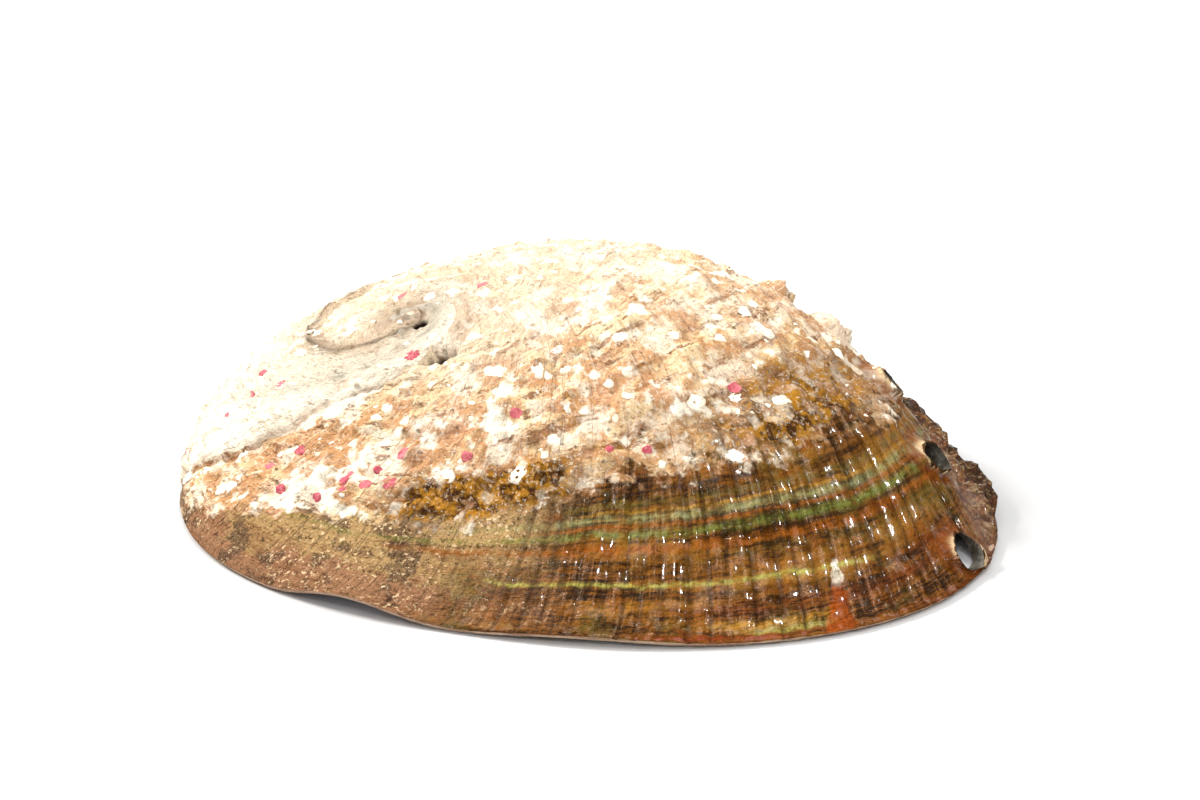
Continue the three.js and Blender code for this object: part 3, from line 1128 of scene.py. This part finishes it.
def layOnShell(tree, scabs, wall, thickness, raggedness):
    # drops every point of the scabs on to the wall, then lifts it by its stored height
    spot = node(tree, "GeometryNodeInputPosition")
    ragged = node(tree, "ShaderNodeTexNoise",
                  {"Vector": vectorMath("SCALE", spot, scale=1000.0), "Scale": 0.9, "Detail": 1.0}, 1)
    ragged = vectorMath("SCALE", vectorMath("SUBTRACT", ragged, (0.5, 0.5, 0.5)), scale=raggedness * mm)
    scabs = chain(tree, "GeometryNodeSetPosition", scabs, {"Offset": ragged})
    scabs = node(tree, "GeometryNodeRealizeInstances", {"Geometry": scabs})

    def nearest(value):
        return node(tree, "GeometryNodeSampleNearestSurface", {"Mesh": wall, "Value": value}, 0,
                    data_type="FLOAT_VECTOR")

    ground = nearest(spot)
    normal = nearest(node(tree, "GeometryNodeInputNormal"))
    lift = vectorMath("SCALE", normal, scale=stored(tree, "rise", "FLOAT") * thickness * mm)
    return chain(tree, "GeometryNodeSetPosition", scabs, {"Position": vectorMath("ADD", ground, lift)})


def shellInput(tree):
    made = tree.nodes.new("GeometryNodeObjectInfo")
    made.inputs["Object"].default_value = shell
    return Field(tree, made.outputs["Geometry"])


def strewFlakes(material):
    tree, start, s = startTree("strewFlakes", flakeShape)
    wall = shellInput(tree)
    crust = stored(tree, "crust", "FLOAT")
    where = stored(tree, "skinPlace", "FLOAT_VECTOR")
    clusters = ramp(noise(where, 0.11, 2.0), -0.05, 0.12)
    points = tree.nodes.new("GeometryNodeDistributePointsOnFaces")
    points.distribute_method = "POISSON"
    for label, value in (("Mesh", wall), ("Distance Min", s["Smallest Gap"] * mm),
                         ("Density Max", s["Flakes Per Area"] / (mm * mm)),
                         ("Density Factor", crust * (clusters * 0.92 + 0.08)), ("Seed", s["Seed"])):
        feed(tree, value, points.inputs[label])

    def chanceValue(low, high, seed):
        return node(tree, "FunctionNodeRandomValue", {2: low, 3: high, "Seed": seed}, 1, data_type="FLOAT")

    twist = node(tree, "FunctionNodeAxisAngleToRotation",
                 {"Axis": (0, 0, 1), "Angle": chanceValue(-0.5, 0.5, 3)})
    spun = node(tree, "FunctionNodeRotateRotation",
                {"Rotation": Field(tree, points.outputs["Rotation"]), "Rotate By": twist},
                rotation_space="LOCAL")
    chance = chanceValue(0.0, 1.0, 5)
    stretch = chanceValue(0.75, 1.3, 8)
    width = (chance ** 3.0 * 1.7 + 0.45) * s["Flake Size"] * mm
    scabs = node(tree, "GeometryNodeInstanceOnPoints",
                 {"Points": Field(tree, points.outputs["Points"]), "Instance": scabBlock(tree, 5, 3.5),
                  "Rotation": spun, "Scale": vector(tree, width * stretch, width / stretch, mm)})
    scabs = layOnShell(tree, node(tree, "GeometryNodeRealizeInstances", {"Geometry": scabs}), wall,
                       s["Flake Thickness"], flakeShape["Flake Size"] * 0.8)
    endTree(scabs, [(material, True)])
    return growMesh(tree, flakeShape, bpy.data.meshes.new("flakes"))


def growSpots(material):
    tree, seeds, s = startTree("growSpots", spotShape)
    wall = shellInput(tree)
    points = node(tree, "GeometryNodeMeshToPoints", {"Mesh": seeds})
    spot = node(tree, "GeometryNodeInputPosition")
    facing = node(tree, "GeometryNodeSampleNearestSurface",
                  {"Mesh": wall, "Value": node(tree, "GeometryNodeInputNormal"), "Sample Position": spot}, 0,
                  data_type="FLOAT_VECTOR")
    turned = node(tree, "FunctionNodeAlignRotationToVector", {"Vector": facing}, axis="Z")
    width = stored(tree, "width", "FLOAT") * mm
    scabs = node(tree, "GeometryNodeInstanceOnPoints",
                 {"Points": points, "Instance": scabBlock(tree, 9, 2.0), "Rotation": turned,
                  "Scale": vector(tree, width, width, mm)})
    scabs = layOnShell(tree, node(tree, "GeometryNodeRealizeInstances", {"Geometry": scabs}), wall,
                       s["Spot Lift"], 0.45)
    endTree(scabs, [(material, True)])
    start = bpy.data.meshes.new("spotSeeds")
    start.from_pydata([Vector(outerPlace(shellShape, math.exp(-shellShape["Growth Rate"] * turn),
                                         math.radians(ray))[:3]) * mm + shellShift
                       for ray, turn, width in spotPlaces], [], [])
    widths = start.attributes.new("width", "FLOAT", "POINT")
    for index, (ray, turn, width) in enumerate(spotPlaces):
        widths.data[index].value = width
    return growMesh(tree, spotShape, start)


def addPiece(name, mesh):
    keepInside(mesh)
    for polygon in mesh.polygons:
        polygon.use_smooth = True
    finish(addObject(name, mesh))
    print(name, "made,", len(mesh.polygons), "faces")


addPiece("limeFlakes", strewFlakes(paintPlain("limeFlake")))
addPiece("crimsonSpots", growSpots(paintPlain("pinkSpot")))


# Camera, floor and light.

studio = {
    "azimuth": math.radians(38.1),
    "elevation": math.radians(22.8),
    "distance": 0.594,
    "focalLength": 105.1,
    "target": Vector((0.0009, 0.0006, 0.005)),
    "aimRight": 0.0051,
    "aimUp": 0.0121,
    "floorHalf": 3,
    "floorShade": 0.52,
    "roomLight": 0.25,
}


def setCamera():
    azimuth, elevation = studio["azimuth"], studio["elevation"]
    back = Vector((math.sin(azimuth) * math.cos(elevation), -math.cos(azimuth) * math.cos(elevation),
                   math.sin(elevation)))
    right = Vector((math.cos(azimuth), math.sin(azimuth), 0))
    up = back.cross(right)
    target = studio["target"]
    aim = target + right * studio["aimRight"] + up * studio["aimUp"]
    camera = addObject("camera", bpy.data.cameras.new("camera"))
    camera.data.lens = studio["focalLength"]
    camera.data.sensor_width = 36
    camera.data.clip_start = 0.01
    camera.location = target + back * studio["distance"]
    camera.rotation_euler = (aim - camera.location).to_track_quat("-Z", "Y").to_euler()
    bpy.context.scene.camera = camera


def addLight(name, place, size, power, colour):
    lamp = bpy.data.lights.new(name, "AREA")
    lamp.shape = "RECTANGLE"
    lamp.size, lamp.size_y = size
    lamp.energy = power
    lamp.color = colour
    holder = addObject(name, lamp)
    holder.location = place
    holder.rotation_euler = (Vector(place) * -1).to_track_quat("-Z", "Y").to_euler()


# name, place, size in m, power in W, colour
lamps = [
    ("overheadSoftbox", (-0.45, 0.5, 1.5), (2.6, 2.6), 28, (1, 0.99, 0.97)),
    ("keyLight", (-0.85, -0.2, 0.65), (0.3, 0.3), 19, (1, 0.98, 0.95)),
    ("frontSoftbox", (0.42, -0.85, 0.5), (0.2, 0.12), 1.5, (1, 1, 1)),
]
# small bare lamps that light up single points on the wet cords
sparkPlaces = [(0.7, 0.2, 0.8), (0.35, -0.2, 1.0), (0.75, -0.35, 0.7), (0.3, 0.45, 0.95), (0.55, -0.6, 0.75)]


def setStudio():
    floorMesh = bpy.data.meshes.new("floor")
    half = studio["floorHalf"]
    corners = [(-half, -half, 0), (half, -half, 0), (half, half, 0), (-half, half, 0)]
    floorMesh.from_pydata(corners, [], [(0, 1, 2, 3)])
    floor = addObject("floor", floorMesh)
    paper, tree, surface = makeMaterial("whitePaper")
    setPlain(surface, {"Base Color": (studio["floorShade"],) * 3 + (1,), "Roughness": 0.9})
    floorMesh.materials.append(paper)
    world = bpy.data.worlds.new("studioWhite")
    bpy.context.scene.world = world
    world.use_nodes = True
    setPlain(world.node_tree.nodes["Background"], {"Color": (1, 1, 1, 1), "Strength": studio["roomLight"]})
    for lamp in lamps:
        addLight(*lamp)
    for index, place in enumerate(sparkPlaces):
        addLight("sparkLight" + str(index + 1), place, (0.05, 0.05), 2.0, (1, 1, 1))
    bpy.context.scene.view_settings.view_transform = "Standard"


setCamera()
setStudio()
